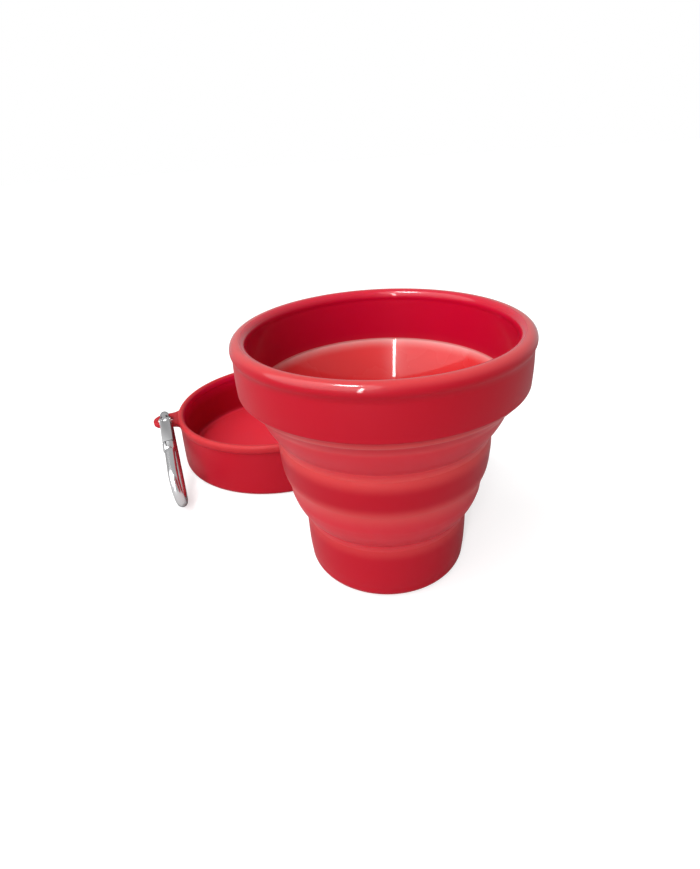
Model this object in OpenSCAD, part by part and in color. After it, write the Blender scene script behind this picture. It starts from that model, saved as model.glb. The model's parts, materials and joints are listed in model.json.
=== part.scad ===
// Collapsible silicone travel cup with its press-on lid and a small carabiner.
// Millimetres, +Z up. The origin is the centre of the cup's underside, on the table.
// The cup is one moulding: two thin webs fold between three stiff tiers.

/* [Cup heights] */
// Height of the stiff base tier
base_h = 19.1; // [18.6:0.1:20]
// Height of the lower folding web
lower_h = 16.4; // [15.5:0.1:17]
// Height of the stiff middle ring
ring_h = 12.3; // [11.5:0.1:13]
// Height of the upper folding web
upper_h = 14.2; // [13.5:0.1:14.8]
// Height of the rim band with its lip
rim_h = 17.4; // [16.8:0.1:18]

/* [Cup radii] */
// Outer radius of the base
base_r = 25.9; // [25:0.1:26]
// Outer radius of the middle ring at its foot
ring_r = 31.6; // [31.2:0.1:32]
// Outer radius of the rim band
band_r = 41.7; // [41.5:0.1:41.8]
// Outer radius of the rounded lip
lip_r = 42; // [41.9:0.1:42.2]

/* [Cup walls] */
// Wall of the base and the middle ring
tier_wall = 3; // [2.6:0.1:3.2]
// Radial wall of the folding webs
web_wall = 1.3; // [1.1:0.1:1.4]
// Wall of the rim band
rim_wall = 4.4; // [4:0.1:4.6]
// Thickness of the cup's floor
floor_t = 3; // [2.4:0.1:3.4]
// Radius of the lip's round section
lip_bead_r = 2.35; // [2.2:0.05:2.4]

/* [Lid] */
// Height of the lid
lid_h = 23.2; // [22.6:0.1:24]
// Thickness of the lid's floor
lid_floor_t = 2; // [1.8:0.1:2.4]
// Wall of the lid
lid_wall = 2; // [1.8:0.1:2.2]
// Half thickness of the lid's lip
lid_bead_r = 1.3; // [1.2:0.05:1.4]
// Height of the lid's lip
lid_bead_h = 3.9; // [3.4:0.1:4.2]

/* [Hang tab] */
// Outer radius of the tab's round tip
tab_tip_r = 5.6; // [5.4:0.1:5.8]
// Radius of the tab's hole
tab_hole_r = 3; // [2.9:0.05:3.1]
// Thickness of the tab
tab_t = 2.2; // [1.8:0.1:2.4]
// Distance of the hole's centre from the lid's axis
tab_reach = 49.6; // [49.4:0.1:50.4]

/* [Carabiner] */
// Radius of the round bar
bar_r = 1.9; // [1.8:0.05:1.95]
// Centreline radius of the narrow end, which hooks the tab
narrow_r = 4.2; // [4.1:0.05:4.3]
// Centreline radius of the broad end
broad_r = 7.5; // [7:0.1:8]
// Distance between the centres of the two ends
clip_span = 34; // [33:0.5:36]
// Width of the gate across its flats
gate_w = 4.2; // [4:0.1:4.4]

/* [Layout] */
// Place of the lid's axis, left and back of the cup
lid_xy = [-49.3, 74.4];
// Direction of the tab, from the lid's axis
tab_angle = -162; // [-164:1:-160]
// Heading of the carabiner's long axis
clip_heading = -67.5; // [-69:0.5:-66]
// Slope of the carabiner, down to the table
clip_slope = 19.9; // [19.5:0.1:19.9]
// Sideways lean of the carabiner
clip_roll = 3.5; // [0:0.5:5]

/* [Hidden] */
$fn = 144;

// Levels of the open cup, and the hairline left where a fold meets the next tier
z_base = base_h;
z_ring = z_base + lower_h;
z_upper = z_ring + ring_h;
z_rim = z_upper + upper_h;
z_top = z_rim + rim_h;
fold_gap = 0.1;

// Radii where the webs meet the tiers
base_top_r = base_r + 0.2;
ring_top_r = ring_r + 0.5;
band_in_r = band_r - rim_wall;
fold_out_r = band_r - 2.5;
band_foot_z = z_rim + 2.8;
base_fillet = 3;
inner_fillet = 2.6;

// Lid outline
lid_bead_mid_r = lip_r + lid_bead_r + 0.05;
lid_top_r = lid_bead_mid_r + 0.85;
lid_foot_r = lid_top_r + 0.8;
lid_fillet = 2;

// Tab: its underside, and the front limb that the carabiner hooks
tab_z = lid_h - 1.1 - tab_t;
limb_reach = (tab_tip_r + tab_hole_r) / 2;
tab_fillet = 4;

// Carabiner: the gate leg's slope in the loop's own plane, and stations along that leg
leg_tilt = asin((broad_r - narrow_r) / clip_span);
leg_len = sqrt(pow(clip_span, 2) - pow(broad_r - narrow_r, 2));
pivot_s = 2.4;
arch_end_s = 0.4;
gate_end_s = 16.9;
nose_s = 17.2;
nose_end_s = 21;
neck_end_s = 24;
tongue_end_s = 20.2;
slot_end_s = 20.7;
ear_r = 1.75;
gate_h = 3.4;
hinge_t = 1.5;
slot_w = hinge_t + 0.2;
rivet_r = 0.75;
rivet_head_r = 1.25;
rivet_head_t = 0.5;

// Straight stretches of the bar are a hair thinner than the bends and end just inside them
lap = 0.2;
straight_r = bar_r - 0.01;
bore_r = 0.75;
bore_start_s = 4.5;
bore_end_s = 12.5;

// Points of a shallow arch from a to b that swells outwards by h
function bow(a, b, h, n = 6) = [for (i = [0:n])
    let (t = i / n, d = b - a) a + d * t + 4 * h * t * (1 - t) * [d[1], -d[0]] / norm(d)];

// Points of a round corner about c
function corner(c, r, from, to, n = 6) = [for (i = [0:n])
    let (a = from + (to - from) * i / n) c + r * [cos(a), sin(a)]];

function reversed(p) = [for (i = [len(p) - 1:-1:0]) p[i]];

// A folding web: its outer line, and the same line moved inwards by the wall
function web_outline(line, foot_wall, head_wall) = concat(line,
    reversed([for (i = [0:len(line) - 1])
        line[i] - [foot_wall + (head_wall - foot_wall) * i / (len(line) - 1), 0]]));

module turned(outline) {
    rotate_extrude() polygon(outline);
}

module base_cup() {
    color("firebrick") turned(concat([[0, 0]],
        corner([base_r - base_fillet, base_fillet], base_fillet, -90, 0),
        bow([base_r, base_fillet + 0.5], [base_top_r, z_base], 0.3),
        [[base_top_r - tier_wall, z_base]],
        corner([base_top_r - tier_wall - inner_fillet, floor_t + inner_fillet], inner_fillet, 0, -90),
        [[0, floor_t]]));
}

module lower_web() {
    knee = [ring_r - 1.6, z_base + 0.6 * lower_h];
    color("indianred") turned(web_outline(concat(
        bow([base_top_r, z_base], knee, 0.5),
        bow(knee + [0.1, 0.3], [ring_r - 0.2, z_ring - fold_gap], -0.2, 3)), web_wall, web_wall));
}

module middle_ring() {
    color("firebrick") turned(concat(
        bow([ring_r - 0.2, z_ring], [ring_top_r, z_upper], 0.7),
        [[ring_top_r - tier_wall + 0.2, z_upper], [ring_r - tier_wall, z_ring]]));
}

module upper_web() {
    knee = [band_r - 4.9, z_upper + 0.77 * upper_h];
    color("indianred") turned(web_outline(concat(
        bow([ring_top_r, z_upper], knee, 0.5),
        bow(knee + [0.2, 0.3], [fold_out_r - 0.1, z_rim - fold_gap], -0.1, 3)),
        web_wall, web_wall + 0.3));
}

// The lip's bead stands on the band; the underside slopes down to the fold
module rim_band() {
    bead = [lip_r - lip_bead_r, z_top - lip_bead_r];
    color("firebrick") turned(concat(
        [[fold_out_r, z_rim], [band_r - 0.3, band_foot_z - 0.3]],
        bow([band_r, band_foot_z + 0.3], [band_r - 0.2, bead[1] - 1.2], 0.1),
        corner(bead, lip_bead_r, -18, 198, 16),
        [[band_in_r + 0.2, bead[1] - 1.2], [band_in_r, z_rim + 1], [band_in_r + 0.1, z_rim]]));
}

// Outline of the lid from its axis along the outside to the top of the lip
function lid_outside() = concat([[0, 0]],
    corner([lid_foot_r - lid_fillet, lid_fillet], lid_fillet, -90, 0),
    [[lid_top_r, lid_h - lid_bead_h - 0.2]],
    corner([lid_bead_mid_r, lid_h - lid_bead_h + lid_bead_r], lid_bead_r, -40, 0, 4),
    corner([lid_bead_mid_r, lid_h - lid_bead_r], lid_bead_r, 0, 90));

module at_lid() {
    translate([lid_xy[0], lid_xy[1], 0]) rotate([0, 0, tab_angle]) children();
}

module lid_dish() {
    lid_in_r = lid_foot_r - lid_wall;
    color("firebrick") at_lid() turned(concat(lid_outside(),
        corner([lid_bead_mid_r, lid_h - lid_bead_r], lid_bead_r, 105, 180, 5),
        corner([lid_bead_mid_r, lid_h - lid_bead_h + lid_bead_r], lid_bead_r, 180, 200, 2),
        [[lid_top_r - lid_wall + 0.1, lid_h - lid_bead_h - 0.2]],
        corner([lid_in_r - inner_fillet, lid_floor_t + inner_fillet], inner_fillet, 0, -90),
        [[0, lid_floor_t]]));
}

// Tab outline, with its long axis on X: a round tip, and a root that flares into the lid
module tab_outline() {
    flare_y = tab_tip_r + tab_fillet;
    flare_x = sqrt(pow(lid_top_r + tab_fillet, 2) - pow(flare_y, 2));
    root_x = lid_top_r - 6;
    difference() {
        union() {
            translate([tab_reach, 0]) circle(tab_tip_r);
            translate([root_x, -tab_tip_r]) square([tab_reach - root_x, 2 * tab_tip_r]);
            translate([root_x, -flare_y]) square([flare_x - root_x, 2 * flare_y]);
        }
        for (side = [-1, 1]) translate([flare_x, side * flare_y]) circle(tab_fillet);
    }
}

module hang_tab() {
    color("firebrick") at_lid() difference() {
        translate([0, 0, tab_z]) linear_extrude(tab_t) tab_outline();
        translate([tab_reach, 0, tab_z - 1]) cylinder(r = tab_hole_r, h = tab_t + 2);
        turned(concat(lid_outside(), [[0, lid_h]]));
    }
}

// The carabiner's own frame: the hooked limb is the origin, X is the long axis,
// Z is across the loop with the gate on top, and Y is square to the loop.
module at_clip() {
    hole = lid_xy + tab_reach * [cos(tab_angle), sin(tab_angle)];
    limb = hole + limb_reach * [cos(clip_heading), sin(clip_heading)];
    translate([limb[0], limb[1], tab_z + tab_t / 2])
        rotate([0, 0, clip_heading]) rotate([0, clip_slope, 0]) rotate([clip_roll, 0, 0]) children();
}

// Stations along the gate leg: X runs down the leg, Z points out of the loop
module at_leg(s) {
    translate([-narrow_r * sin(leg_tilt), 0, narrow_r * cos(leg_tilt)])
        rotate([0, -leg_tilt, 0]) translate([s, 0, 0]) children();
}

module along(r, length, r_end = undef) {
    rotate([0, 90, 0]) cylinder(r1 = r, r2 = is_undef(r_end) ? r : r_end, h = length);
}

// Part of a bent bar in the loop's plane
module bend(r, from, sweep) {
    rotate([90, 0, 0]) rotate([0, 0, from])
        rotate_extrude(angle = sweep) translate([r, 0]) circle(bar_r);
}

module across(r, w) {
    rotate([90, 0, 0]) cylinder(r = r, h = w, center = true);
}

module carabiner_body() {
    color("silver") at_clip() difference() {
        union() {
            bend(narrow_r, 90 + leg_tilt, 180 - 2 * leg_tilt);
            translate([clip_span, 0, 0]) bend(broad_r, -90 - leg_tilt, 180 + 2 * leg_tilt);
            mirror([0, 0, 1]) at_leg(-lap) along(straight_r, leg_len + 2 * lap);
            at_leg(-lap) along(straight_r, arch_end_s + lap);
            at_leg(neck_end_s) along(straight_r, leg_len - neck_end_s + lap);
            at_leg(nose_end_s) along(gate_w / 2 + 0.3, neck_end_s - nose_end_s, straight_r);
            at_leg(nose_s) along(gate_w / 2 + 0.3, nose_end_s - nose_s);
            at_leg(0) translate([0, -hinge_t / 2, -bar_r + 0.2])
                cube([pivot_s, hinge_t, 2 * bar_r - 0.4]);
            at_leg(pivot_s) across(bar_r - 0.2, hinge_t);
        }
        at_leg(pivot_s) across(rivet_r, gate_w);
        at_leg(nose_s - 1) translate([0, -slot_w / 2, -4]) cube([slot_end_s - nose_s + 1, slot_w, 8]);
        for (side = [-1, 1]) at_leg(nose_s - 1)
            translate([0, -4, side * (gate_h / 2 + 1.6) - 1]) cube([neck_end_s - nose_s, 8, 2]);
    }
}

module carabiner_gate() {
    tongue_w = hinge_t - 0.1;
    color("gainsboro") at_clip() difference() {
        union() {
            at_leg(pivot_s) across(ear_r, gate_w);
            at_leg(pivot_s) translate([0, -gate_w / 2, -gate_h / 2])
                cube([gate_end_s - pivot_s, gate_w, gate_h]);
            at_leg(gate_end_s - 1) translate([0, -tongue_w / 2, -gate_h / 2 + 0.3])
                cube([tongue_end_s - gate_end_s + 1, tongue_w, gate_h - 0.6]);
        }
        at_leg(0) translate([-1, -slot_w / 2, -4]) cube([bore_start_s + 1, slot_w, 8]);
        at_leg(pivot_s) across(rivet_r + 0.05, gate_w + 1);
        at_leg(bore_start_s - 1) along(bore_r, bore_end_s - bore_start_s + 1);
    }
}

module gate_rivet() {
    color("silver") at_clip() at_leg(pivot_s) {
        across(rivet_r, gate_w + 0.2);
        for (side = [-1, 1]) translate([0, side * (gate_w + rivet_head_t + 0.1) / 2, 0])
            across(rivet_head_r, rivet_head_t);
    }
}

module gate_spring() {
    color("dimgray") at_clip() at_leg(bore_start_s + 2) difference() {
        along(bore_r - 0.05, bore_end_s - bore_start_s - 2);
        translate([-1, 0, 0]) along(bore_r - 0.3, bore_end_s - bore_start_s);
    }
}

module spring_plunger() {
    color("silver") at_clip() at_leg(bore_start_s - 0.2) along(bore_r - 0.05, 2.2);
}

base_cup();
lower_web();
middle_ring();
upper_web();
rim_band();
lid_dish();
hang_tab();
carabiner_body();
carabiner_gate();
gate_rivet();
gate_spring();
spring_plunger();
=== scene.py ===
"""Collapsible silicone travel cup with its loose lid and a small carabiner, for Blender 4.5."""

import json
import math

import bpy
from mathutils import Matrix, Vector


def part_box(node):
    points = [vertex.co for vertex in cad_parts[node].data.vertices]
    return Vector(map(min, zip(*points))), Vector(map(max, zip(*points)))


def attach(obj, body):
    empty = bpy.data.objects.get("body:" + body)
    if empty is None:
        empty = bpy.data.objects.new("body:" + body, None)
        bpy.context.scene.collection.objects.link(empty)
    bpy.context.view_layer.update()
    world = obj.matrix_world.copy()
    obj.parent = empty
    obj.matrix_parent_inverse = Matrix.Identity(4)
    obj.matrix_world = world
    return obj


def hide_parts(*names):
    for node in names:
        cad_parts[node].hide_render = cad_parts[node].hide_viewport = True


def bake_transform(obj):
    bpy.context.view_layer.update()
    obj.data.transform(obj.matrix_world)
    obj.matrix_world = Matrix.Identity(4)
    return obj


bl_info = {
    "name": "Collapsible travel cup",
    "version": (1, 0, 0),
    "blender": (4, 5, 0),
    "location": "View3D > Sidebar > Travel Cup",
    "description": "Models a folding silicone cup, its lid and a clip around a packed frame",
    "category": "Add Mesh",
}

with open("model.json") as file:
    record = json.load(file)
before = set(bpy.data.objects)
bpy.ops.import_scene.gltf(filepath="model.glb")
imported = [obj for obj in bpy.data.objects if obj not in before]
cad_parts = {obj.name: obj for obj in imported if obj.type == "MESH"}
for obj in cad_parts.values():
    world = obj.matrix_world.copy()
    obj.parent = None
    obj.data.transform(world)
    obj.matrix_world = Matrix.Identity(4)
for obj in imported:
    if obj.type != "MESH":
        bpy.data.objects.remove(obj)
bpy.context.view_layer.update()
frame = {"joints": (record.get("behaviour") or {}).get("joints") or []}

MM = 0.001
ROUND_STEPS = 192    # steps round the cup and the lid
SMALL_STEPS = 48     # steps round a pin or a hole
BAR_STEPS = 32       # steps round the carabiner's bar
SLOT_GAP = 0.2       # play of a tongue in its slot, in millimetres
TOOL_REACH = 4.0     # how far a cutting tool reaches from the middle, in millimetres


# ---------------------------------------------------------------- places read from the frame

def low(node):
    """Lowest corner of a CAD node, in millimetres."""
    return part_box(node)[0] / MM


def high(node):
    """Highest corner of a CAD node, in millimetres."""
    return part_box(node)[1] / MM


def joint(name):
    """A joint's row from the frame."""
    return next(row for row in frame["joints"] if row["name"] == name)


Z_BASE = high("base_cup").z
Z_RING = low("middle_ring").z
Z_UPPER = high("middle_ring").z
Z_RIM = low("rim_band").z
Z_TOP = high("rim_band").z
LIP_R = high("rim_band").x
LID_CENTRE = (low("lid_dish") + high("lid_dish")) / 2
LID_H = high("lid_dish").z
TAB_Z = (low("hang_tab").z + high("hang_tab").z) / 2
LIMB = Vector(joint("carabiner_swing")["pos_m"]) / MM
CLIP_NORMAL = Vector(joint("carabiner_swing")["axis"]).normalized()
PIVOT = Vector(joint("gate_swing")["pos_m"]) / MM


# ---------------------------------------------------------------- sizes and colours to change

def length(name, default, description):
    return bpy.props.FloatProperty(name=name, default=default, min=0.0, description=description)


def colour(name, default, description):
    return bpy.props.FloatVectorProperty(name=name, default=default, size=3, subtype="COLOR",
                                         min=0.0, max=1.0, description=description)


class CupSizes(bpy.types.PropertyGroup):
    """Radii and walls of the cup moulding, in millimetres."""
    base_r: length("Base radius", 25.9, "Outer radius of the base tier, in millimetres")
    ring_r: length("Ring radius", 31.6, "Outer radius of the middle ring, in millimetres")
    band_r: length("Band radius", 41.7, "Outer radius of the rim band, in millimetres")
    tier_wall: length("Tier wall", 3.0, "Wall of the base and the middle ring, in millimetres")
    web_wall: length("Web wall", 1.3, "Wall of the folding webs, in millimetres")
    band_wall: length("Band wall", 4.4, "Wall of the rim band, in millimetres")
    floor: length("Floor", 3.0, "Thickness of the cup's floor, in millimetres")
    lip: length("Lip", 2.35, "Radius of the rounded lip, in millimetres")
    ledge: length("Ledge", 0.5, "Extra wall at the head of the upper web, in millimetres")
    roll: length("Roll", 0.3, "How far a tier rolls out at its fold, in millimetres")
    flare: length("Base flare", 0.2, "How much wider the base is at its top, in millimetres")
    ring_flare: length("Ring flare", 0.7, "How much wider the ring is at its top, in millimetres")
    tuck: length("Ring tuck", 0.2, "How far the ring draws in at its foot, in millimetres")
    head_inset: length("Head inset", 2.6, "Upper web's head inside the band, in millimetres")
    recess: length("Foot recess", 0.35, "Depth of the recess under the cup, in millimetres")


class LidSizes(bpy.types.PropertyGroup):
    """Walls of the lid and its hang tab, in millimetres."""
    wall: length("Wall", 2.0, "Wall of the lid, in millimetres")
    floor: length("Floor", 2.0, "Thickness of the lid's floor, in millimetres")
    lip: length("Lip", 1.3, "Half thickness of the lid's lip, in millimetres")
    lip_h: length("Lip height", 3.9, "Height of the lid's lip, in millimetres")
    tab_turn: bpy.props.FloatProperty(name="Tab turn", default=math.radians(-162),
                                      subtype="ANGLE",
                                      description="Where the tab points, turned from the X axis")
    tab_tip: length("Tab tip", 5.6, "Radius of the tab's round tip, in millimetres")
    tab_hole: length("Tab hole", 3.0, "Radius of the tab's hole, in millimetres")
    tab_reach: length("Tab reach", 49.6, "From the lid's axis to the hole, in millimetres")
    tab_thick: length("Tab thickness", 2.2, "Thickness of the tab, in millimetres")


class ClipSizes(bpy.types.PropertyGroup):
    """Sizes of the carabiner, in millimetres."""
    bar: length("Bar radius", 1.9, "Radius of the round bar, in millimetres")
    narrow: length("Narrow end", 4.2, "Centreline radius of the narrow end, in millimetres")
    broad: length("Broad end", 7.5, "Centreline radius of the broad end, in millimetres")
    span: length("Span", 34.0, "Distance between the centres of the two ends, in millimetres")
    gate_w: length("Gate width", 4.2, "Width of the gate across its flats, in millimetres")
    gate_h: length("Gate height", 3.4, "Depth of the gate, in millimetres")
    hinge: length("Hinge tongue", 1.5, "Thickness of the hinge tongue, in millimetres")


class CupColours(bpy.types.PropertyGroup):
    """Colours of the finishes, several of them with painted light and painted highlights."""
    deep: colour("Thick silicone", (0.36, 0.002, 0.012), "Silicone where the wall is thick")
    # Painted light: thin silicone is tinted lighter, a painted glow of light through the thin
    # wall.
    thin: colour("Thin silicone", (0.47, 0.019, 0.031), "Silicone where the wall is thin")
    # Painted highlight: the colour laid along the fold rolls and the lip tops, where light catches
    # them.
    edge: colour("Fold edges", (0.54, 0.052, 0.052), "Silicone along the folds and lips")
    # Painted light: a brighter red inside the tiers, standing in for light through the wall.
    inner: colour("Inside", (0.455, 0.001, 0.022), "Silicone on the inside of the cup's tiers")
    # Painted light: the inside of the webs, brighter still, a painted glow through the thin web.
    glowing: colour("Web inside", (0.60, 0.027, 0.028), "Thin silicone on the inside of the webs")
    # Painted highlight: the pale line at the head of the inner web.
    head_highlight: colour("Haze", (0.66, 0.26, 0.25), "The milky edge at the head of the inner web")
    # Painted light: the lid's inner floor, tinted brighter for the light that falls on it.
    lid: colour("Lid floor", (0.58, 0.020, 0.036), "Silicone on the lid's inner floor")
    # Painted light: the inside of the lid's wall, tinted brighter to lift the shade there.
    lid_wall_light: colour("Lid wall", (0.62, 0.002, 0.050), "Silicone on the inside of the lid's wall")
    metal: colour("Aluminium", (0.78, 0.78, 0.79), "Polished aluminium")
    floor: colour("Floor", (0.50, 0.50, 0.50), "The floor under the cup")


def cup_sizes():
    return bpy.context.scene.travelcup_cup


def lid_sizes():
    return bpy.context.scene.travelcup_lid


def clip_sizes():
    return bpy.context.scene.travelcup_clip


def colours():
    return bpy.context.scene.travelcup_colours


# ---------------------------------------------------------------- outlines, in millimetres

def bow(a, b, swell, count=8, power=2):
    """Points of a shallow arch from a to b that swells to its right-hand side.

    A higher power flattens the middle and rolls the two ends over more quickly.
    """
    dr, dz = b[0] - a[0], b[1] - a[1]
    reach = math.hypot(dr, dz)
    points = []
    for i in range(count + 1):
        t = i / count
        out = swell * (1 - abs(2 * t - 1) ** power) / reach
        points.append((a[0] + dr * t + out * dz, a[1] + dz * t - out * dr))
    return points


def eased(foot, slope, rise, count=4):
    """Points that leave the foot straight up and lean out by the slope over the rise."""
    steps = [rise * i / count for i in range(count + 1)]
    return [(foot[0] + slope * h * h / (2 * rise), foot[1] + h) for h in steps]


def corner(centre, radius, start, stop, count=8):
    """Points of a round corner, with its angles in degrees."""
    angles = [math.radians(start + (stop - start) * i / count) for i in range(count + 1)]
    return [(centre[0] + radius * math.cos(a), centre[1] + radius * math.sin(a)) for a in angles]


def walled(line, foot_wall, head_wall):
    """A closed outline: the outer line and an inner one, with a wall that thickens to the head."""
    last = len(line) - 1
    inner = [(r - foot_wall - (head_wall - foot_wall) * (i / last) ** 4, z)
             for i, (r, z) in enumerate(line)]
    return line + inner[::-1]


def straight_inside(line, foot_wall, head_wall):
    """A closed outline: the outer line, and a nearly straight line inside from head to foot."""
    (foot_r, foot_z), (head_r, head_z) = line[0], line[-1]
    return line + bow((head_r - head_wall, head_z), (foot_r - foot_wall, foot_z), 0.15, 12)


# ---------------------------------------------------------------- modelling by hand

def pick(obj):
    """Selects one object alone and makes it the active one."""
    bpy.ops.object.select_all(action="DESELECT")
    obj.select_set(True)
    bpy.context.view_layer.objects.active = obj


def start_edit(obj):
    pick(obj)
    bpy.ops.object.mode_set(mode="EDIT")


def end_edit():
    bpy.ops.object.mode_set(mode="OBJECT")


def tidy_mesh(obj):
    """Merges doubled points and turns every face outwards."""
    start_edit(obj)
    bpy.ops.mesh.select_all(action="SELECT")
    bpy.ops.mesh.remove_doubles(threshold=1e-6)
    bpy.ops.mesh.normals_make_consistent(inside=False)
    end_edit()


def settle(obj, placement=None):
    """Puts a piece in its place and leaves its object at the origin, unturned and unscaled."""
    pick(obj)
    bpy.ops.object.transform_apply(location=True, rotation=True, scale=True)
    if placement is not None:
        obj.matrix_world = placement
        bpy.ops.object.transform_apply(location=True, rotation=True, scale=True)
    return obj


def smooth(obj, angle=38):
    """Shades a piece smooth, but for edges sharper than the angle in degrees."""
    pick(obj)
    bpy.ops.object.shade_smooth_by_angle(angle=math.radians(angle))
    return obj


def modify(obj, kind, **settings):
    """Adds a modifier, sets it and applies it."""
    pick(obj)
    modifier = obj.modifiers.new(kind.title(), kind)
    for name, value in settings.items():
        setattr(modifier, name, value)
    bpy.ops.object.modifier_apply(modifier=modifier.name)
    return obj


def carve(obj, tool, operation="DIFFERENCE"):
    """Cuts a tool shape out of a piece, or joins it on, and removes the tool."""
    modify(obj, "BOOLEAN", operation=operation, solver="EXACT", object=tool)
    bpy.data.objects.remove(tool)
    return obj


def soften(obj, width, segments, angle):
    """Rounds the edges sharper than an angle in degrees, and cuts large faces to triangles."""
    modify(obj, "BEVEL", width=width * MM, segments=segments, limit_method="ANGLE",
           angle_limit=math.radians(angle))
    return modify(obj, "TRIANGULATE", min_vertices=5)


def draw_outline(name, outline, plane):
    """A chain of edges: one vertex, extruded from point to point, in millimetres."""
    def place(point):
        a, b = point[0] * MM, point[1] * MM
        return Vector((a, 0, b)) if plane == "XZ" else Vector((a, b, 0))
    bpy.ops.object.select_all(action="DESELECT")
    bpy.ops.mesh.primitive_plane_add(size=MM, location=place(outline[0]))
    obj = bpy.context.object
    obj.name = obj.data.name = name
    start_edit(obj)
    bpy.ops.mesh.select_all(action="SELECT")
    bpy.ops.mesh.merge(type="CENTER")
    for before, after in zip(outline, outline[1:]):
        step = place(after) - place(before)
        bpy.ops.mesh.extrude_vertices_move(TRANSFORM_OT_translate={"value": step})
    return obj


def turned(name, outline, placement=None, steps=ROUND_STEPS):
    """A piece of revolution about Z: the outline is drawn, then spun all the way round."""
    closed = outline[0][0] > 0
    obj = draw_outline(name, outline + outline[:1] if closed else outline, "XZ")
    bpy.ops.mesh.select_all(action="SELECT")
    bpy.ops.mesh.remove_doubles(threshold=1e-7)
    bpy.ops.mesh.spin(steps=steps, angle=2 * math.pi, center=(0, 0, 0), axis=(0, 0, 1))
    end_edit()
    tidy_mesh(obj)
    return smooth(settle(obj, placement))


def slab(name, outline, thickness):
    """A flat plate: the outline is drawn, filled and extruded both ways from the XY plane."""
    obj = draw_outline(name, outline, "XY")
    push = Vector((0, 0, thickness * MM))
    bpy.ops.mesh.select_all(action="SELECT")
    bpy.ops.mesh.edge_face_add()
    bpy.ops.transform.translate(value=-push / 2)
    bpy.ops.mesh.extrude_region_move(TRANSFORM_OT_translate={"value": push})
    end_edit()
    tidy_mesh(obj)
    return settle(obj)


def rod(name, radius, depth, centre, axis, vertices=SMALL_STEPS):
    """A cylinder along X, Y or Z, used as a start or as a tool."""
    turn = {"X": (0, math.pi / 2, 0), "Y": (math.pi / 2, 0, 0), "Z": (0, 0, 0)}[axis]
    bpy.ops.object.select_all(action="DESELECT")
    bpy.ops.mesh.primitive_cylinder_add(vertices=vertices, radius=radius * MM, depth=depth * MM,
                                        location=Vector(centre) * MM, rotation=turn)
    obj = bpy.context.object
    obj.name = obj.data.name = name
    return settle(obj)


def block(name, low_corner, high_corner):
    """A box between two corners, used as a start or as a tool."""
    a, b = Vector(low_corner) * MM, Vector(high_corner) * MM
    bpy.ops.object.select_all(action="DESELECT")
    bpy.ops.mesh.primitive_cube_add(size=1, location=(a + b) / 2, scale=b - a)
    obj = bpy.context.object
    obj.name = obj.data.name = name
    return settle(obj)


def finish_piece(obj, material, slot, *replaced):
    """Gives a piece its finish and hides the CAD nodes it stands for. The slot is not used."""
    obj.data.materials.clear()
    obj.data.materials.append(material)
    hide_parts(*replaced)
    return obj


# ---------------------------------------------------------------- finishes
# Distances are in metres here, and noise scales are per metre.

WALL_BLUR = 0.0006
LIP_BLUR = 0.001
LID_FLOOR_TOP = 0.0042
LID_FLOOR_BLUR = 0.002
HANDLING_MARKS = 60.0
MOULD_GRAIN = 5200.0
RUBBED_PATCHES = 340.0


class Socket:
    """One output of a shader node. Sums on it add Math nodes."""

    def __init__(self, sheet, output):
        self.sheet = sheet
        self.output = output

    def math(self, operation, *values, **settings):
        return self.sheet.node("ShaderNodeMath", {"operation": operation, **settings}, *values)

    def __add__(self, other):
        return self.math("ADD", self, other)

    def __radd__(self, other):
        return self.math("ADD", other, self)

    def __sub__(self, other):
        return self.math("SUBTRACT", self, other)

    def __rsub__(self, other):
        return self.math("SUBTRACT", other, self)

    def __mul__(self, other):
        return self.math("MULTIPLY", self, other)

    def __rmul__(self, other):
        return self.math("MULTIPLY", other, self)

    def __truediv__(self, other):
        return self.math("DIVIDE", self, other)

    def __rtruediv__(self, other):
        return self.math("DIVIDE", other, self)

    def __pow__(self, exponent):
        return self.math("POWER", self, exponent)

    def __abs__(self):
        return self.math("ABSOLUTE", self)

    def clamped(self):
        """The value held between 0 and 1."""
        return self.math("ADD", self, 0.0, use_clamp=True)

    def at_least(self, other):
        """The larger of two values."""
        return self.math("MAXIMUM", self, other)


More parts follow.
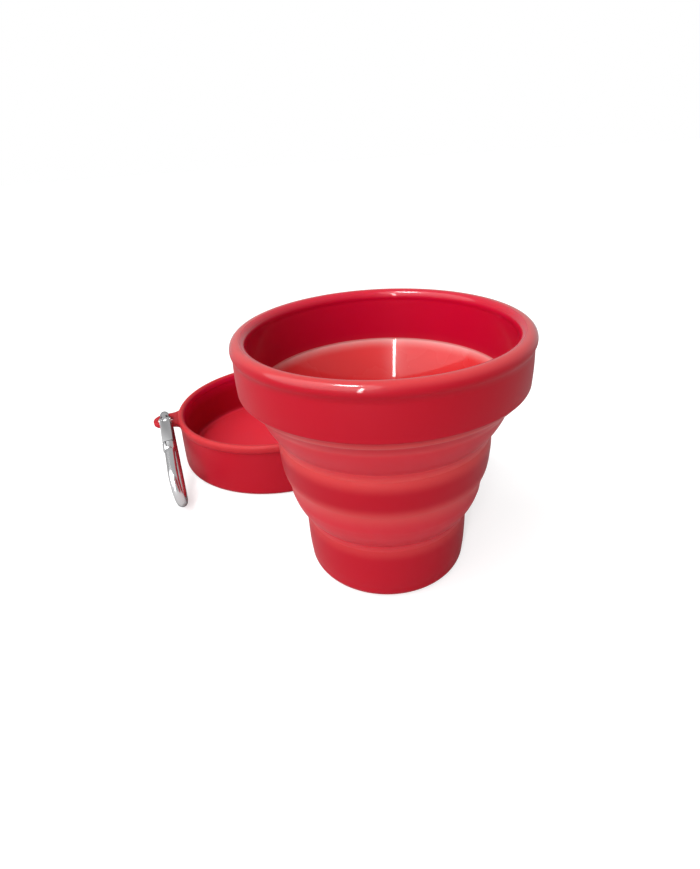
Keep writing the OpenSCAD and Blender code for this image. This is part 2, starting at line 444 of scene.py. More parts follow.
class Sheet:
    """A material's node tree with one Principled shader."""

    def __init__(self, name, **constants):
        self.material = bpy.data.materials.new(name)
        self.material.use_nodes = True
        self.tree = self.material.node_tree
        self.shader = self.tree.nodes["Principled BSDF"]
        for socket, value in constants.items():
            self.feed(self.shader.inputs[socket.replace("_", " ")], value)

    def feed(self, socket, value):
        """Links a Socket to a shader's input, or sets the input to a value or a colour."""
        if isinstance(value, Socket):
            self.tree.links.new(value.output, socket)
        elif socket.type == "RGBA" and len(value) == 3:
            socket.default_value = (*value, 1.0)
        else:
            socket.default_value = value

    def node(self, kind, settings, *values, output=0, **named):
        """A node with its settings, then its inputs by their order or by their names."""
        made = self.tree.nodes.new(kind)
        for name, value in settings.items():
            setattr(made, name, value)
        for socket, value in zip(made.inputs, values):
            self.feed(socket, value)
        for name, value in named.items():
            self.feed(made.inputs[name.replace("_", " ")], value)
        return Socket(self, made.outputs[output])

    def set(self, name, value):
        self.feed(self.shader.inputs[name], value)

    def place(self):
        return self.node("ShaderNodeTexCoord", {}, output="Object")

    def axis(self, place, name):
        return self.node("ShaderNodeSeparateXYZ", {}, place, output=name)

    def noise(self, place, scale, detail):
        return self.node("ShaderNodeTexNoise", {}, Vector=place, Scale=scale, Detail=detail)

    def mixed(self, factor, first, second):
        """The first colour at factor 0, the second at factor 1."""
        made = self.tree.nodes.new("ShaderNodeMix")
        made.data_type = "RGBA"
        self.feed(made.inputs["Factor"], factor)
        self.feed(made.inputs[6], first)
        self.feed(made.inputs[7], second)
        return Socket(self, made.outputs[2])

    def bump(self, height, strength, distance):
        self.set("Normal", self.node("ShaderNodeBump", {}, Height=height, Strength=strength,
                                     Distance=distance))

    def near(self, value, centre, width):
        """1 at the centre, falling to 0 at the width on each side, in metres."""
        return (1.0 - abs(value - centre) / width).clamped()


def darker(tint, share):
    """A colour with each of its parts brought down to a share."""
    return tuple(share * part for part in tint)


def silicone(name, body, inside, highlight_bands, wall=(0, 0), axis=(0, 0), shine=0.2, lip=1.0,
             floor=None, glowing=None):
    """Satin silicone that lets a little light through, glossier inside, with light painted in.

    Each highlight band is a height, a reach and a strength: a painted highlight that turns
    the outside towards the fold colour near a fold or a lip. The wall line is a radius at height 0
    and the radius gained per metre, which parts the inside from the outside; the inside takes
    its own colour, a painted glow of light through the wall. A clear gloss lies on the inside,
    as strong as the shine, and above the height of the lip. The floor is the colour of the lid's
    floor, painted brighter for the light on it. The last argument is a height, a reach and how
    fast a painted highlight fades down the inside.
    """
    c = colours()
    sheet = Sheet(name, Subsurface_Weight=0.3, Subsurface_Radius=(1.0, 0.12, 0.10),
                  Subsurface_Scale=0.001, IOR=1.4, Specular_IOR_Level=0.22,
                  Coat_Roughness=0.035)
    place = sheet.place()
    height = sheet.axis(place, "Z")
    across = sheet.axis(place, "X") - axis[0]
    deep = sheet.axis(place, "Y") - axis[1]
    radius = (across * across + deep * deep) ** 0.5
    inner = ((wall[0] + height * wall[1] - radius) / WALL_BLUR).clamped()
    outside = 1 - inner * 0.9
    marks = sheet.noise(place, HANDLING_MARKS, 3.0)
    tint = sheet.mixed(marks * 0.35, body, darker(body, 0.82))
    # Painted light: the inside takes the inside colour, a painted glow of light through the wall.
    tint = sheet.mixed(inner * 0.85, tint, inside)
    # Painted light: low inside, the lid's floor colour, painted brighter for the light on it.
    if floor is not None:
        low_down = ((LID_FLOOR_TOP - height) / LID_FLOOR_BLUR).clamped()
        tint = sheet.mixed(low_down * inner, tint, floor)
    # Painted highlights: near each band's height the outside turns towards the fold colour.
    for level, reach, strength in highlight_bands:
        near = sheet.near(height, level * MM, reach * MM)
        highlight_share = near * near * (3 - 2 * near)
        tint = sheet.mixed(highlight_share * outside * strength, tint, c.edge)
    # Painted highlight: a pale line on the inside that fades down from the given height.
    if glowing is not None:
        level, reach, fade = glowing
        head_highlight = sheet.near(height, level * MM, reach * MM) ** fade * inner
        tint = sheet.mixed(head_highlight, tint, c.head_highlight)
    top = ((height - lip) / LIP_BLUR).clamped()
    sheet.set("Base Color", tint)
    sheet.set("Roughness", 0.40 + marks * 0.08 - inner * shine * 0.3 - top * 0.12)
    sheet.set("Coat Weight", (inner * shine).at_least(top * 0.8))
    sheet.bump(sheet.noise(place, MOULD_GRAIN, 2.0), 0.12, 0.00003)
    return sheet.material


def aluminium(name, tint, base_roughness, streaks):
    """Bare metal: fine lines along the bar and a few rubbed patches."""
    sheet = Sheet(name, Metallic=1.0, Specular_Tint=(0.45, 0.45, 0.45))
    place = sheet.place()
    lines = sheet.noise(place, streaks, 3.0)
    rubbed = sheet.noise(place, RUBBED_PATCHES, 3.0)
    sheet.set("Base Color", sheet.mixed(rubbed * 0.4, tint, darker(tint, 0.8)))
    sheet.set("Roughness", base_roughness + rubbed * 0.12)
    sheet.bump(lines, 0.06, 0.00002)
    return sheet.material


# ---------------------------------------------------------------- the cup

def base_line(cup):
    """Outline of the base tier: shallow foot recess, round foot, wall, and the floor inside."""
    top_r = cup.base_r + cup.flare
    inner_r = top_r - cup.tier_wall
    foot_round, floor_round = 3.0, 2.6
    recess_r, recess_round = 17.0, 0.6
    pad_r, pad_rise = 5.0, 0.12
    foot = corner((recess_r + recess_round, recess_round), recess_round, 200, 270, 3)
    return ([(0, cup.recess), (recess_r, cup.recess)] + foot[1:]
            + corner((cup.base_r - foot_round, foot_round), foot_round, -90, 0, 10)
            + bow((cup.base_r, foot_round + 0.5), (top_r, Z_BASE), cup.roll, 16, 3)
            + [(inner_r, Z_BASE)]
            + corner((inner_r - floor_round, cup.floor + floor_round), floor_round, 0, -90, 10)
            + [(pad_r + 1.0, cup.floor), (pad_r + 0.6, cup.floor + pad_rise),
               (pad_r, cup.floor + pad_rise), (0, cup.floor + pad_rise)])


def web_line(foot, knee, head, upper_gap, upper_swell, count):
    """Outside of a web: a soft foot, a full stretch to the knee and a short one to the head."""
    foot_rise, lower_swell = 2.0, 0.5
    start = eased(foot, (knee[0] - foot[0]) / (knee[1] - foot[1]), foot_rise)
    above_start = (start[-1][0], start[-1][1] + 0.4)
    above_knee = (knee[0] + upper_gap[0], knee[1] + upper_gap[1])
    return (start + bow(above_start, knee, lower_swell, 12)
            + bow(above_knee, head, upper_swell, count))


def lower_web_line(cup):
    foot = (cup.base_r + cup.flare, Z_BASE)
    knee = (cup.ring_r - 1.5, Z_BASE + 0.6 * (Z_RING - Z_BASE))
    head = (cup.ring_r - cup.tuck, Z_RING)
    return web_line(foot, knee, head, (0.15, 0.5), -0.2, 8)


def upper_web_line(cup):
    foot = (cup.ring_r - cup.tuck + cup.ring_flare, Z_UPPER)
    knee = (cup.band_r - 4.9, Z_UPPER + 0.77 * (Z_RIM - Z_UPPER))
    head = (cup.band_r - cup.head_inset, Z_RIM)
    return web_line(foot, knee, head, (0.25, 0.4), -0.12, 6)


def ring_line(cup):
    """Outline of the middle ring: its outside rolls over softly at the foot and the head."""
    foot = (cup.ring_r - cup.tuck, Z_RING)
    head = (foot[0] + cup.ring_flare, Z_UPPER)
    inner_head = (head[0] - cup.tier_wall, Z_UPPER)
    inner_foot = (foot[0] - cup.tier_wall + 0.2, Z_RING)
    return (bow(foot, head, cup.roll + 0.35, 22, 3.5)
            + bow(inner_head, inner_foot, -0.3, 8))


def rim_line(cup):
    """Outline of the rim: fold, underside, band, groove, round lip and the wall inside."""
    inner_head_r = cup.band_r - cup.band_wall + 0.1
    inner_foot_r = cup.band_r - cup.head_inset - cup.web_wall - cup.ledge
    bead = (LIP_R - cup.lip, Z_TOP - cup.lip)
    fold_round = 0.95
    groove, inner_top = bead[1] - 1.9, bead[1] - 1.5
    return ([(cup.band_r - cup.head_inset + 0.05, Z_RIM)]
            + bow((cup.band_r - 2.3, Z_RIM + 0.3), (cup.band_r - 0.5, Z_RIM + 2.5), 0.1, 5)
            + corner((cup.band_r - fold_round, Z_RIM + 3.3), fold_round, -35, 10, 5)
            + bow((cup.band_r + 0.02, Z_RIM + 4.2), (cup.band_r - 0.2, groove), 0.12, 12)
            + corner(bead, cup.lip, -28, 200, 30)
            + bow((inner_head_r, inner_top), (inner_foot_r, Z_RIM), -0.1, 12))


def make_base_tier():
    cup = cup_sizes()
    obj = turned("base_tier", base_line(cup))
    split = (cup.base_r - cup.tier_wall / 2) * MM
    c = colours()
    # Painted light: the inside colour is a painted glow, and a painted highlight runs along the
    # top fold.
    finish = silicone("silicone_base", c.deep, c.inner, [(Z_BASE, 4.0, 0.45)], (split, 0))
    finish_piece(obj, finish, "silicone_thick", "base_cup")
    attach(obj, "base")


def make_middle_tier():
    cup = cup_sizes()
    obj = turned("middle_tier", ring_line(cup))
    split = (cup.ring_r - cup.tier_wall / 2) * MM
    # Painted highlights along the ring's top and foot folds; the inside colour is a painted glow.
    highlight_bands = [(Z_UPPER, 4.6, 0.75), (Z_RING, 4.0, 0.7)]
    c = colours()
    finish = silicone("silicone_ring", c.deep, c.inner, highlight_bands, (split, 0))
    finish_piece(obj, finish, "silicone_thick", "middle_ring")
    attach(obj, "ring")


def make_rim():
    cup = cup_sizes()
    obj = turned("rim_and_lip", rim_line(cup))
    split = (cup.band_r - cup.band_wall / 2) * MM
    # Painted highlights under the band and on the lip top; painted glow inside, with a painted
    # line at its foot.
    highlight_bands = [(Z_RIM + 0.8, 2.4, 0.9), (Z_TOP + 0.3, 1.9, 0.65)]
    c = colours()
    finish = silicone("silicone_rim", c.deep, c.inner, highlight_bands, (split, 0),
                      lip=(Z_TOP - 2) * MM, glowing=(Z_RIM, 0.65, 0.3))
    finish_piece(obj, finish, "silicone_thick", "rim_band")
    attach(obj, "rim")


def make_web(name, node, outer, outline, ends, highlight_bands, glowing=None):
    """One thin web, between the tiers below and above it."""
    cup = cup_sizes()
    c = colours()
    foot, head = ends
    lean = (outer[-1][0] - outer[0][0]) / (head - foot)
    split = outer[0][0] - lean * foot - cup.web_wall * 0.4
    obj = turned(name, outline)
    # Painted glow: the thin colour and the web's inside colour stand in for light through the web.
    finish = silicone("silicone_" + name, c.thin, c.glowing, highlight_bands, (split * MM, lean),
                      shine=0.55, glowing=glowing)
    finish_piece(obj, finish, "silicone_thin", node)
    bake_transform(obj)


def make_webs():
    cup = cup_sizes()
    lower = lower_web_line(cup)
    upper = upper_web_line(cup)
    # Painted highlights near the folds, and a painted highlight line inside the upper web's head.
    make_web("lower_fold_web", "lower_web", lower,
             walled(lower, cup.web_wall, cup.web_wall + 0.3),
             (Z_BASE, Z_RING),
             [(Z_BASE, 3.0, 0.35), (Z_RING, 5.0, 0.6)])
    make_web("upper_fold_web", "upper_web", upper,
             straight_inside(upper, cup.web_wall, cup.web_wall + cup.ledge),
             (Z_UPPER, Z_RIM),
             [(Z_UPPER, 3.0, 0.9)], (Z_RIM, 3.2, 2.0))


# ---------------------------------------------------------------- the lid

def lid_place():
    """Where the lid lies, with its foot on the floor."""
    return Matrix.Translation(Vector((LID_CENTRE.x, LID_CENTRE.y, 0)) * MM)


def lid_line(lid):
    """Outline of the lid: foot recess, round foot, leaning wall, round lip and the floor."""
    clearance = 0.05
    bead_r = LIP_R + lid.lip + clearance
    top_r, foot_r = bead_r + 0.85, bead_r + 1.65
    inner_r = foot_r - lid.wall
    foot_round, floor_round = 2.0, 2.6
    recess, recess_r, recess_round = 0.3, 30.0, 0.5
    neck = LID_H - lid.lip_h
    low_bead, high_bead = neck + lid.lip, LID_H - lid.lip
    return ([(0, recess), (recess_r, recess)]
            + corner((recess_r + recess_round, recess_round), recess_round, 210, 270, 3)
            + corner((foot_r - foot_round, foot_round), foot_round, -90, 0, 8)
            + bow((foot_r, foot_round + 0.5), (top_r, neck - 0.35), 0.1, 8)
            + corner((bead_r, low_bead), lid.lip, -48, 0, 5)
            + corner((bead_r, high_bead), lid.lip, 0, 180, 16)
            + corner((bead_r, low_bead), lid.lip, 180, 215, 4)
            + bow((top_r - lid.wall + 0.1, neck - 0.5), (inner_r, 2 * floor_round), -0.1, 8)
            + corner((inner_r - floor_round, lid.floor + floor_round), floor_round, 0, -90, 8)
            + [(0, lid.floor)])


def tab_line(lid):
    """Outline of the tab with its long axis on X: round tip, straight sides, flared root."""
    rim_r, flare = LIP_R + 2 * lid.lip - 0.1, 4.0
    side = lid.tab_tip + flare
    flare_x = math.sqrt((rim_r + flare) ** 2 - side ** 2)
    root = (rim_r - 1.9, side - 0.6)
    upper = (corner((lid.tab_reach, 0), lid.tab_tip, 0, 90, 16)
             + corner((flare_x, side), flare, -90, -168, 10) + [root])
    return upper + [(r, -y) for r, y in upper[::-1]][:-1]


def make_lid():
    obj = turned("lid_dish_shell", lid_line(lid_sizes()), lid_place())
    split = (LIP_R + 0.6) * MM
    c = colours()
    # Painted highlight along the lip top; the inside wall and floor colours are painted light.
    finish = silicone("silicone_lid", c.deep, c.lid_wall_light, [(LID_H, 4.2, 0.45)], (split, 0),
                      (LID_CENTRE.x * MM, LID_CENTRE.y * MM), shine=0.0, floor=c.lid)
    finish_piece(obj, finish, "lid_silicone", "lid_dish")
    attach(obj, "lid")


def make_tab():
    lid = lid_sizes()
    obj = slab("hang_tab_plate", tab_line(lid), lid.tab_thick)
    hole = rod("tab_hole_tool", lid.tab_hole, 3 * lid.tab_thick, (lid.tab_reach, 0, 0), "Z", 64)
    carve(obj, hole)
    soften(obj, 0.55, 4, 50)
    at_lid = Matrix.Translation(Vector((LID_CENTRE.x, LID_CENTRE.y, TAB_Z)) * MM)
    smooth(settle(obj, at_lid @ Matrix.Rotation(lid.tab_turn, 4, "Z")), 50)
    c = colours()
    # Painted highlight near the height of the lid's lip.
    finish = silicone("silicone_tab", c.deep, c.deep, [(LID_H, 3.0, 0.3)])
    finish_piece(obj, finish, "lid_silicone", "hang_tab")
    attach(obj, "lid")


# ---------------------------------------------------------------- the carabiner

class GateLeg:
    """Stations down the gate leg, in millimetres from where the narrow bend ends."""
    arch_end = 0.4
    pivot = 2.4
    bore_start = 4.5
    bore_end = 12.5
    gate_end = 16.9
    nose = 17.2
    tongue_end = 20.2
    slot_end = 20.7
    nose_end = 21.0
    neck_end = 21.8


def leg_tilt(clip):
    """How far each leg leans in from the loop's long axis, in radians."""
    return math.asin((clip.broad - clip.narrow) / clip.span)


def clip_place(clip):
    """From the clip's own frame to the row frame: X down the loop, Z across it to the gate."""
    tilt, reach = leg_tilt(clip), GateLeg.pivot
    pivot = Vector((-clip.narrow * math.sin(tilt) + reach * math.cos(tilt), 0,
                    clip.narrow * math.cos(tilt) + reach * math.sin(tilt)))
    across = CLIP_NORMAL
    to_pivot = (PIVOT - LIMB).normalized()
    side = across.cross(to_pivot)
    turn = math.atan2(pivot.x, pivot.z)
    up = to_pivot * math.cos(turn) + side * -math.sin(turn)
    along = across.cross(up)
    basis = Matrix((along, across, up)).transposed().to_4x4()
    return Matrix.Translation(LIMB * MM) @ basis


def leg_place(clip):
    """From the gate leg's stations to the clip's own frame."""
    tilt = leg_tilt(clip)
    start = Vector((-clip.narrow * math.sin(tilt), 0, clip.narrow * math.cos(tilt))) * MM
    return Matrix.Translation(start) @ Matrix.Rotation(-tilt, 4, "Y")


def bent_bar(clip):
    """The bar, from the hinge round both bends to the nose: one ring, extruded and spun."""
    tilt = leg_tilt(clip)
    leg = math.sqrt(clip.span ** 2 - (clip.broad - clip.narrow) ** 2)
    down = Vector((math.cos(tilt), 0, -math.sin(tilt)))
    back = Vector((-math.cos(tilt), 0, -math.sin(tilt)))
    start = leg_place(clip) @ Vector((GateLeg.arch_end * MM, 0, 0))
    bpy.ops.object.select_all(action="DESELECT")
    bpy.ops.mesh.primitive_circle_add(vertices=BAR_STEPS, radius=clip.bar * MM, location=start,
                                      rotation=(0, math.pi / 2 - tilt, 0))
    obj = bpy.context.object
    obj.name = obj.data.name = "carabiner_bar"
    start_edit(obj)
    bpy.ops.mesh.select_all(action="SELECT")

    def push(direction, distance):
        bpy.ops.mesh.extrude_region_move(
            TRANSFORM_OT_translate={"value": direction * distance * MM})

    def bend(centre_x, sweep, steps):
        bpy.ops.mesh.spin(steps=steps, angle=sweep, center=(centre_x * MM, 0, 0), axis=(0, 1, 0))

    pushes = 6
    push(back, GateLeg.arch_end)
    bend(0, math.pi - 2 * tilt, 28)
    for _ in range(pushes):
        push(down, leg / pushes)
    bend(clip.span, math.pi + 2 * tilt, 40)
    for _ in range(pushes):
        push(back, (leg - GateLeg.neck_end) / pushes)
    bpy.ops.mesh.select_all(action="SELECT")
    bpy.ops.mesh.remove_doubles(threshold=1e-7)
    bpy.ops.mesh.fill_holes(sides=0)
    end_edit()
    return obj


def nose_block(clip):
    """The nose: a collar with two flats and a slot that takes the gate's latch."""
    half = clip.gate_w / 2 + 0.3
    neck_r = clip.bar - 0.1
    root = GateLeg.neck_end + 1.5
    line = [(0, GateLeg.nose), (half - 0.4, GateLeg.nose), (half, GateLeg.nose + 0.4),
            (half, GateLeg.nose_end), (neck_r, GateLeg.neck_end + 0.1), (neck_r, root), (0, root)]
    nose = turned("nose", line, Matrix.Rotation(math.pi / 2, 4, "Y"), SMALL_STEPS)
    flat_start, flat_end = GateLeg.nose - 1, GateLeg.nose_end + 0.3
    for side in (-1, 1):
        z0, z1 = sorted((side * (clip.gate_h / 2 + 0.5), side * TOOL_REACH))
        carve(nose, block("flat", (flat_start, -TOOL_REACH, z0), (flat_end, TOOL_REACH, z1)))
    half_slot = (clip.hinge + SLOT_GAP) / 2
    carve(nose, block("slot", (flat_start, -half_slot, -TOOL_REACH),
                      (GateLeg.slot_end, half_slot, TOOL_REACH)))
    return nose


def hinge_tongue(clip):
    """The flat round tongue that the gate's fork turns on."""
    half_t, depth = clip.hinge / 2, clip.bar - 0.15
    tongue = rod("tongue", clip.bar - 0.2, clip.hinge, (GateLeg.pivot, 0, 0), "Y")
    root = block("root", (-1.2, -half_t, -depth), (GateLeg.pivot, half_t, depth))
    return carve(tongue, root, "UNION")


def make_clip_body():
    clip = clip_sizes()
    obj = settle(bent_bar(clip))
    tidy_mesh(obj)
    on_leg = leg_place(clip)
    nose = nose_block(clip)
    tongue = hinge_tongue(clip)
    carve(obj, settle(nose, on_leg), "UNION")
    carve(obj, settle(tongue, on_leg), "UNION")
    soften(obj, 0.16, 2, 42)
    smooth(settle(obj, clip_place(clip)), 35)
    finish = aluminium("clip_polished", colours().metal, 0.17, 1500.0)
    finish_piece(obj, finish, "clip_aluminium", "carabiner_body")
    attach(obj, "carabiner")


def make_gate():
    """The gate: a bar with a round fork at the hinge, a latch at its end and two bores."""
    clip = clip_sizes()
    half_w, half_h = clip.gate_w / 2, clip.gate_h / 2
    half_latch = (clip.hinge - 0.1) / 2
    half_fork = (clip.hinge + SLOT_GAP) / 2
    bore_reach = GateLeg.bore_end - GateLeg.bore_start + 1
    bore_middle = GateLeg.bore_end - bore_reach / 2
    ear_r, pin_hole_r, bore_r = 1.75, 0.8, 0.75
    obj = rod("gate_bar", ear_r, clip.gate_w, (GateLeg.pivot, 0, 0), "Y")
    carve(obj, block("length", (GateLeg.pivot, -half_w, -half_h),
                     (GateLeg.gate_end, half_w, half_h)), "UNION")
    carve(obj, block("latch", (GateLeg.gate_end - 1, -half_latch, 0.3 - half_h),
                     (GateLeg.tongue_end, half_latch, half_h - 0.3)), "UNION")
    carve(obj, block("fork", (-1, -half_fork, -TOOL_REACH),
                     (GateLeg.bore_start, half_fork, TOOL_REACH)))
    carve(obj, rod("pin_hole", pin_hole_r, 2 * TOOL_REACH, (GateLeg.pivot, 0, 0), "Y"))
    carve(obj, rod("bore", bore_r, bore_reach, (bore_middle, 0, 0), "X", 32))
    soften(obj, 0.28, 3, 42)
    smooth(settle(obj, clip_place(clip) @ leg_place(clip)), 35)
    finish = aluminium("gate_brushed", darker(colours().metal, 0.54), 0.36, 2600.0)
    finish_piece(obj, finish, "gate_aluminium", "carabiner_gate")
    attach(obj, "gate")


def make_rivet():
    """The gate's hinge pin: a shank with a low domed head at each end."""
    clip = clip_sizes()
    shank_r, head_r, edge_h, dome_h = 0.75, 1.25, 0.18, 0.34
    under_head = clip.gate_w / 2 + 0.05
    edge = under_head + edge_h
    angles = [math.radians(degrees) for degrees in range(15, 90, 15)]
    dome = [(head_r * math.cos(a), edge + dome_h * math.sin(a)) for a in angles]
    side = ([(shank_r, under_head), (head_r, under_head), (head_r, edge)] + dome
            + [(0, edge + dome_h)])
    line = [(r, -z) for r, z in side[::-1]] + side
    across = Matrix.Rotation(math.pi / 2, 4, "X")
    at_pivot = Matrix.Translation(Vector((GateLeg.pivot, 0, 0)) * MM)
    place = clip_place(clip) @ leg_place(clip) @ at_pivot @ across
    obj = turned("rivet_pin", line, place, SMALL_STEPS)
    finish = aluminium("rivet_steel_finish", (0.80, 0.80, 0.79), 0.2, 1200.0)
    finish_piece(obj, finish, "rivet_steel", "gate_rivet")
    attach(obj, "carabiner")


def down_the_bore(clip, station):
    """From a piece's own Z axis to the gate's bore, starting at a station on the leg."""
    stand = Matrix.Translation(Vector((station, 0, 0)) * MM) @ Matrix.Rotation(math.pi / 2, 4, "Y")
    return clip_place(clip) @ leg_place(clip) @ stand


def make_spring():
    """The coil spring inside the gate."""
    wire_r, coil_r, turns = 0.13, 0.55, 9
    start = GateLeg.bore_start + 2.05
    pitch = (GateLeg.bore_end - start - 0.3) / turns
    bpy.ops.object.select_all(action="DESELECT")
    bpy.ops.mesh.primitive_circle_add(vertices=10, radius=wire_r * MM, fill_type="NGON",
                                      location=(coil_r * MM, 0, 0), rotation=(math.pi / 2, 0, 0))
    coil = settle(bpy.context.object)
    coil.name = coil.data.name = "gate_coil"
    modify(coil, "SCREW", angle=2 * math.pi, screw_offset=pitch * MM, iterations=turns,
           steps=20, render_steps=20, use_merge_vertices=True)
    tidy_mesh(coil)
    smooth(settle(coil, down_the_bore(clip_sizes(), start + 0.15)))
    finish = aluminium("spring_wire", (0.55, 0.55, 0.56), 0.25, 2000.0)
    finish_piece(coil, finish, "spring_steel", "gate_spring")
    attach(coil, "gate")


def make_plunger():
    """The pin that the spring pushes against the hinge tongue."""
    tip, shoulder, end = 0.3, 1.9, 2.0
    line = ([(0, 0)] + corner((0.4, tip), tip, -90, 0, 4)
            + [(0.7, shoulder), (0.45, end), (0, end)])
    pin = turned("plunger_pin", line, down_the_bore(clip_sizes(), GateLeg.bore_start - 0.2), 32)
    finish = aluminium("plunger_finish", (0.8, 0.8, 0.79), 0.2, 900.0)
    finish_piece(pin, finish, "rivet_steel", "spring_plunger")
    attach(pin, "gate")


# ---------------------------------------------------------------- the stage, in metres

CUP_MIDDLE = Vector((0, 0, 0.05))
CAMERA_PLACE = Vector((0, -0.1391, 0.1225))
CAMERA_YAW, CAMERA_PITCH, CAMERA_ROLL = -0.075, 0.511, -0.067    # radians
CAMERA_LENS = 21.13
ROOM_LIGHT = 0.5     # the room's light on the pieces, where the camera sees it as 1
FLOOR_LIFT = 0.6     # glow that the camera alone sees on the floor
FLOOR_RADIUS = 6.0
FLOOR_GAP = 0.00005


def make_floor():
    """A plain floor that the camera sees as bright as the room."""
    bpy.ops.object.select_all(action="DESELECT")
    bpy.ops.mesh.primitive_circle_add(vertices=96, radius=FLOOR_RADIUS, fill_type="NGON",
                                      location=(0, 0, -FLOOR_GAP))
    floor = bpy.context.object
    floor.name = "floor"
    sheet = Sheet("floor_paint", Roughness=0.9, Emission_Strength=FLOOR_LIFT)
    sheet.set("Base Color", colours().floor)
    seen = sheet.node("ShaderNodeLightPath", {}, output="Is Camera Ray")
    sheet.set("Emission Color", sheet.mixed(seen, (0.0, 0.0, 0.0), (1.0, 1.0, 1.0)))
    floor.data.materials.append(sheet.material)


def make_light(name, place, size, power):
    """A rectangular lamp aimed at the cup, with its size in metres and its power in watts."""
    lamp = bpy.data.lights.new(name, "AREA")
    lamp.shape = "RECTANGLE"
    lamp.size, lamp.size_y = size
    lamp.energy = power
    obj = bpy.data.objects.new(name, lamp)
    bpy.context.scene.collection.objects.link(obj)
    obj.location = place
    obj.rotation_euler = (CUP_MIDDLE - Vector(place)).to_track_quat("-Z", "Y").to_euler()


def make_sun(name, towards, strength, softness):
    """A far lamp in the given direction, as wide as the softness in degrees."""
    lamp = bpy.data.lights.new(name, "SUN")
    lamp.energy, lamp.angle = strength, math.radians(softness)
    obj = bpy.data.objects.new(name, lamp)
    bpy.context.scene.collection.objects.link(obj)
    obj.rotation_euler = Vector(towards).to_track_quat("Z", "Y").to_euler()


def make_camera():
    """A close camera, a little above the lip and looking down into the cup."""
    camera = bpy.data.cameras.new("camera")
    camera.lens = CAMERA_LENS
    camera.sensor_width = 36.0
    camera.clip_start = 0.01
    obj = bpy.data.objects.new("camera", camera)
    bpy.context.scene.collection.objects.link(obj)
    level = math.cos(CAMERA_PITCH)
    forward = Vector((math.sin(CAMERA_YAW) * level, math.cos(CAMERA_YAW) * level,
                      -math.sin(CAMERA_PITCH)))
    right = Vector((math.cos(CAMERA_YAW), -math.sin(CAMERA_YAW), 0))
    up = right.cross(forward)
    rolled_right = right * math.cos(CAMERA_ROLL) + up * math.sin(CAMERA_ROLL)
    rolled_up = up * math.cos(CAMERA_ROLL) - right * math.sin(CAMERA_ROLL)
    turn = Matrix((rolled_right, rolled_up, -forward)).transposed().to_4x4()
    obj.matrix_world = Matrix.Translation(CAMERA_PLACE) @ turn
    bpy.context.scene.camera = obj


def make_stage():
    """The floor, a white room that lights the pieces softly, three lamps and the camera."""
    make_floor()
    world = bpy.data.worlds.new("studio")
    world.use_nodes = True
    tree = world.node_tree
    background = tree.nodes["Background"]
    background.inputs["Color"].default_value = (1.0, 1.0, 1.0, 1.0)
    seen = tree.nodes.new("ShaderNodeLightPath").outputs["Is Camera Ray"]
    strength = tree.nodes.new("ShaderNodeMapRange")
    strength.inputs["To Min"].default_value = ROOM_LIGHT
    tree.links.new(seen, strength.inputs["Value"])
    tree.links.new(strength.outputs["Result"], background.inputs["Strength"])
    bpy.context.scene.world = world
    bpy.context.scene.view_settings.view_transform = "Standard"
    make_sun("soft_sun", (-0.86, -0.55, 1.0), 2.05, 75)
    make_light("overhead", (-0.18, -0.16, 0.70), (0.15, 0.11), 2.0)
    make_light("strip", (-0.22, -0.83, 0.42), (0.045, 0.8), 5.2)
    make_camera()


# ---------------------------------------------------------------- operators, panel and main

class TRAVELCUP_OT_base_tier(bpy.types.Operator):
    """Model the cup's base tier and floor"""
    bl_idname = "travelcup.base_tier"
    bl_label = "Base Tier"

    def execute(self, context):
        make_base_tier()
        return {"FINISHED"}


class TRAVELCUP_OT_middle_tier(bpy.types.Operator):
    """Model the cup's middle ring"""
    bl_idname = "travelcup.middle_tier"
    bl_label = "Middle Tier"

    def execute(self, context):
        make_middle_tier()
        return {"FINISHED"}


class TRAVELCUP_OT_webs(bpy.types.Operator):
    """Model the two thin webs that fold"""
    bl_idname = "travelcup.webs"
    bl_label = "Folding Webs"

    def execute(self, context):
        make_webs()
        return {"FINISHED"}


class TRAVELCUP_OT_rim(bpy.types.Operator):
    """Model the rim band with its round lip"""
    bl_idname = "travelcup.rim"
    bl_label = "Rim and Lip"

    def execute(self, context):
        make_rim()
        return {"FINISHED"}


class TRAVELCUP_OT_lid(bpy.types.Operator):
    """Model the lid and its hang tab"""
    bl_idname = "travelcup.lid"
    bl_label = "Lid and Tab"

    def execute(self, context):
        make_lid()
        make_tab()
        return {"FINISHED"}


class TRAVELCUP_OT_clip_body(bpy.types.Operator):
    """Model the carabiner's bent bar with its nose and hinge tongue"""
    bl_idname = "travelcup.clip_body"
    bl_label = "Carabiner Body"

    def execute(self, context):
        make_clip_body()
        return {"FINISHED"}


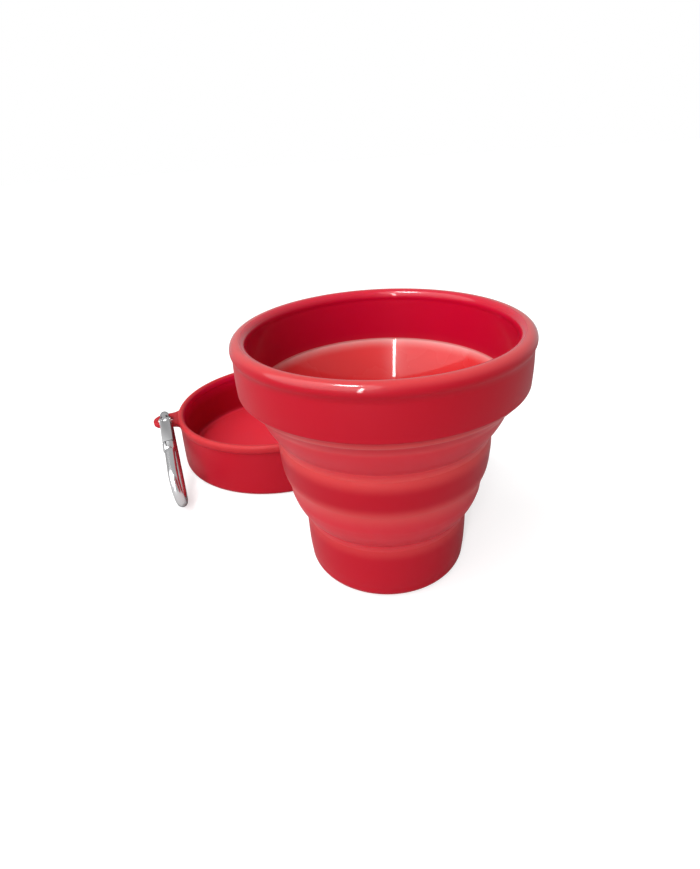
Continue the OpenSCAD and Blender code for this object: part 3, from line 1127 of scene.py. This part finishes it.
class TRAVELCUP_OT_gate(bpy.types.Operator):
    """Model the carabiner's gate, its rivet, spring and plunger"""
    bl_idname = "travelcup.gate"
    bl_label = "Gate and Rivet"

    def execute(self, context):
        make_gate()
        make_rivet()
        make_spring()
        make_plunger()
        return {"FINISHED"}


class TRAVELCUP_OT_stage(bpy.types.Operator):
    """Set the floor, the lights and the camera"""
    bl_idname = "travelcup.stage"
    bl_label = "Stage"

    def execute(self, context):
        make_stage()
        return {"FINISHED"}


STEPS = [TRAVELCUP_OT_base_tier, TRAVELCUP_OT_middle_tier, TRAVELCUP_OT_webs, TRAVELCUP_OT_rim,
         TRAVELCUP_OT_lid, TRAVELCUP_OT_clip_body, TRAVELCUP_OT_gate, TRAVELCUP_OT_stage]


class TRAVELCUP_PT_panel(bpy.types.Panel):
    """Lists the pieces, sizes and colours of the travel cup"""
    bl_idname = "TRAVELCUP_PT_panel"
    bl_label = "Travel Cup"
    bl_space_type = "VIEW_3D"
    bl_region_type = "UI"
    bl_category = "Travel Cup"

    def draw(self, context):
        for group in SETTINGS:
            box = self.layout.box()
            settings = getattr(context.scene, group)
            for name in settings.bl_rna.properties.keys():
                if name not in ("rna_type", "name"):
                    box.prop(settings, name)
        for step in STEPS:
            self.layout.operator(step.bl_idname)


SETTINGS = {"travelcup_cup": CupSizes, "travelcup_lid": LidSizes, "travelcup_clip": ClipSizes,
            "travelcup_colours": CupColours}
CLASSES = [*SETTINGS.values(), *STEPS, TRAVELCUP_PT_panel]


def register():
    for cls in CLASSES:
        bpy.utils.register_class(cls)
    for name, group in SETTINGS.items():
        setattr(bpy.types.Scene, name, bpy.props.PointerProperty(type=group))


def unregister():
    for name in SETTINGS:
        delattr(bpy.types.Scene, name)
    for cls in reversed(CLASSES):
        bpy.utils.unregister_class(cls)


def main():
    register()
    bpy.ops.travelcup.base_tier()
    bpy.ops.travelcup.middle_tier()
    bpy.ops.travelcup.webs()
    bpy.ops.travelcup.rim()
    bpy.ops.travelcup.lid()
    bpy.ops.travelcup.clip_body()
    bpy.ops.travelcup.gate()
    bpy.ops.travelcup.stage()


if __name__ == "__main__":
    main()
